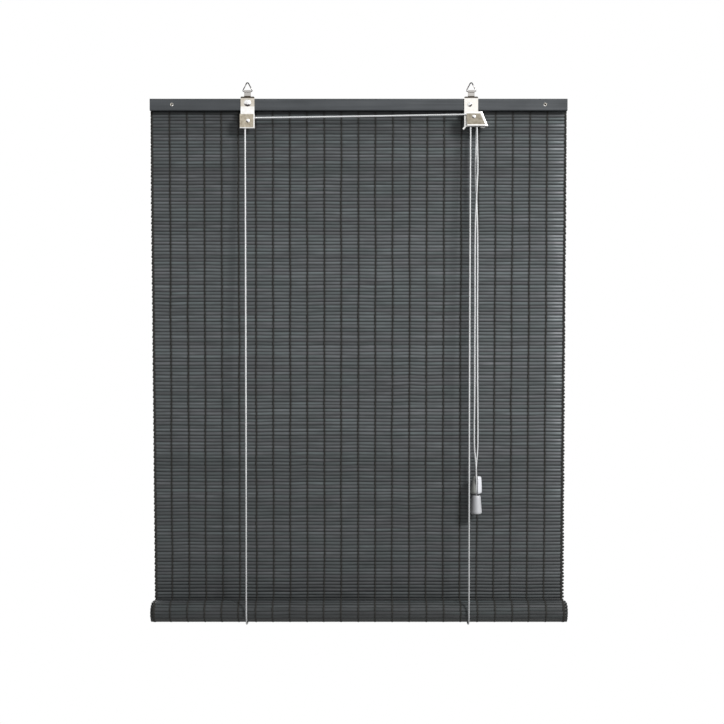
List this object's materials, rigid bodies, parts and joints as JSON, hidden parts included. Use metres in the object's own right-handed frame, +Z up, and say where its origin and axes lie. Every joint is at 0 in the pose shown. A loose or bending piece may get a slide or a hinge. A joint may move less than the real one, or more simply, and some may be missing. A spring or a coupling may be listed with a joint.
{
  "type": "bamboo roll up blind",
  "caption": "Roll-up blind of charcoal bamboo slats on a head rail, with lift cords, pulleys, a roller cord lock and a cord tassel",
  "frame": {"origin": "midway between the head rail's two screw holes, on the rear batten's wall side", "axes": "+X runs along the head rail to the right as seen from the room, +Y points to the wall, +Z is up"},
  "size_m": [0.6, 0.0412, 0.7792],
  "materials": {
    "rail_paint": "charcoal paint, satin",
    "slat": "charcoal stain on split bamboo",
    "thread": "dark cotton thread",
    "rod_wood": "charcoal paint",
    "nickel": "nickel plate on folded sheet",
    "steel": "plated wire and pins",
    "wheel_plastic": "white nylon",
    "cord": "light grey braided cord",
    "tassel_plastic": "light grey moulded plastic"
  },
  "bodies": {
    "rail_assembly": {"head_rail": "rail_paint", "rear_batten": "rail_paint", "clamp_nails": "steel", "slat_mat": "slat", "warp_threads_front": "thread", "warp_threads_back": "thread", "left_bracket": "nickel", "right_bracket": "nickel", "left_bracket_screw": "steel", "right_bracket_screw": "steel", "left_pulley_pin": "steel", "right_pulley_pin": "steel", "left_lift_front": "cord", "left_lift_back": "cord", "right_lift_front": "cord", "right_lift_back": "cord", "left_cord_knot": "cord", "right_cord_knot": "cord", "cross_cord": "cord", "right_wrap_cord": "cord", "pull_cord_rear": "cord", "pull_cord_front": "cord"},
    "sling": {"left_lift_bight": "cord", "right_lift_bight": "cord"},
    "roll": {"slat_roll": "slat", "bottom_rod": "rod_wood"},
    "tassel": {"clip_half_left": "tassel_plastic", "tassel_cords": "cord", "tassel_bell": "tassel_plastic", "tassel_knot": "cord"},
    "clip_right": {"clip_half_right": "tassel_plastic"},
    "wheel_left": {"left_pulley_wheel": "wheel_plastic"},
    "wheel_right_rear": {"right_pulley_wheel_rear": "wheel_plastic"},
    "wheel_right_front": {"right_pulley_wheel_front": "wheel_plastic"},
    "lock_carriage": {"lock_pin": "steel"},
    "lock_drum": {"lock_roller": "steel"},
    "hanger_left": {"left_ring": "steel"},
    "hanger_right": {"right_ring": "steel"}
  },
  "joints": [
    {"name": "roll_lift", "type": "slide", "parent": "rail_assembly", "child": "sling", "axis": [0, 0, 1], "range_m": [0, 0.65], "deforming": ["slat_mat", "warp_threads_front", "warp_threads_back", "left_lift_front", "right_lift_front", "left_lift_back", "right_lift_back"]},
    {"name": "roll_spin", "type": "hinge", "parent": "sling", "child": "roll", "pos_m": [0, -0.0216, -0.728], "axis": [1, 0, 0], "range_deg": [-1800, 0]},
    {"name": "pull_draw", "type": "slide", "parent": "rail_assembly", "child": "tassel", "axis": [0, -0.342, -0.9397], "range_m": [0, 1.3], "deforming": ["pull_cord_rear", "pull_cord_front"]},
    {"name": "clip_release", "type": "slide", "parent": "tassel", "child": "clip_right", "axis": [1, 0, 0], "range_m": [0, 0.008]},
    {"name": "left_wheel_spin", "type": "hinge", "parent": "rail_assembly", "child": "wheel_left", "pos_m": [-0.15835, -0.0197, -0.0243], "axis": [0, 1, 0], "range_deg": [0, 16560]},
    {"name": "right_rear_wheel_spin", "type": "hinge", "parent": "rail_assembly", "child": "wheel_right_rear", "pos_m": [0.1646, -0.0197, -0.0192], "axis": [0, 1, 0], "range_deg": [0, 16560]},
    {"name": "right_front_wheel_spin", "type": "hinge", "parent": "rail_assembly", "child": "wheel_right_front", "pos_m": [0.1646, -0.0246, -0.0192], "axis": [0, 1, 0], "range_deg": [0, 16560]},
    {"name": "lock_slide", "type": "slide", "parent": "rail_assembly", "child": "lock_carriage", "axis": [-0.4365, 0, 0.8997], "range_m": [0, 0.0045]},
    {"name": "lock_roller_spin", "type": "hinge", "parent": "lock_carriage", "child": "lock_drum", "pos_m": [0.1777, -0.0216, -0.0302], "axis": [0, 1, 0], "continuous": true},
    {"name": "left_ring_swing", "type": "hinge", "parent": "rail_assembly", "child": "hanger_left", "pos_m": [-0.1594, -0.0165, 0.0186], "axis": [1, 0, 0], "range_deg": [-90, 90]},
    {"name": "right_ring_swing", "type": "hinge", "parent": "rail_assembly", "child": "hanger_right", "pos_m": [0.1616, -0.0165, 0.0186], "axis": [1, 0, 0], "range_deg": [-90, 90]}
  ],
  "couplings": [
    {"joint": "roll_spin", "follows": "roll_lift", "rad_per_m": -48.332},
    {"joint": "pull_draw", "follows": "roll_lift", "ratio": 2},
    {"joint": "left_wheel_spin", "follows": "roll_lift", "rad_per_m": 444.44},
    {"joint": "right_rear_wheel_spin", "follows": "roll_lift", "rad_per_m": 444.44},
    {"joint": "right_front_wheel_spin", "follows": "roll_lift", "rad_per_m": 444.44}
  ]
}
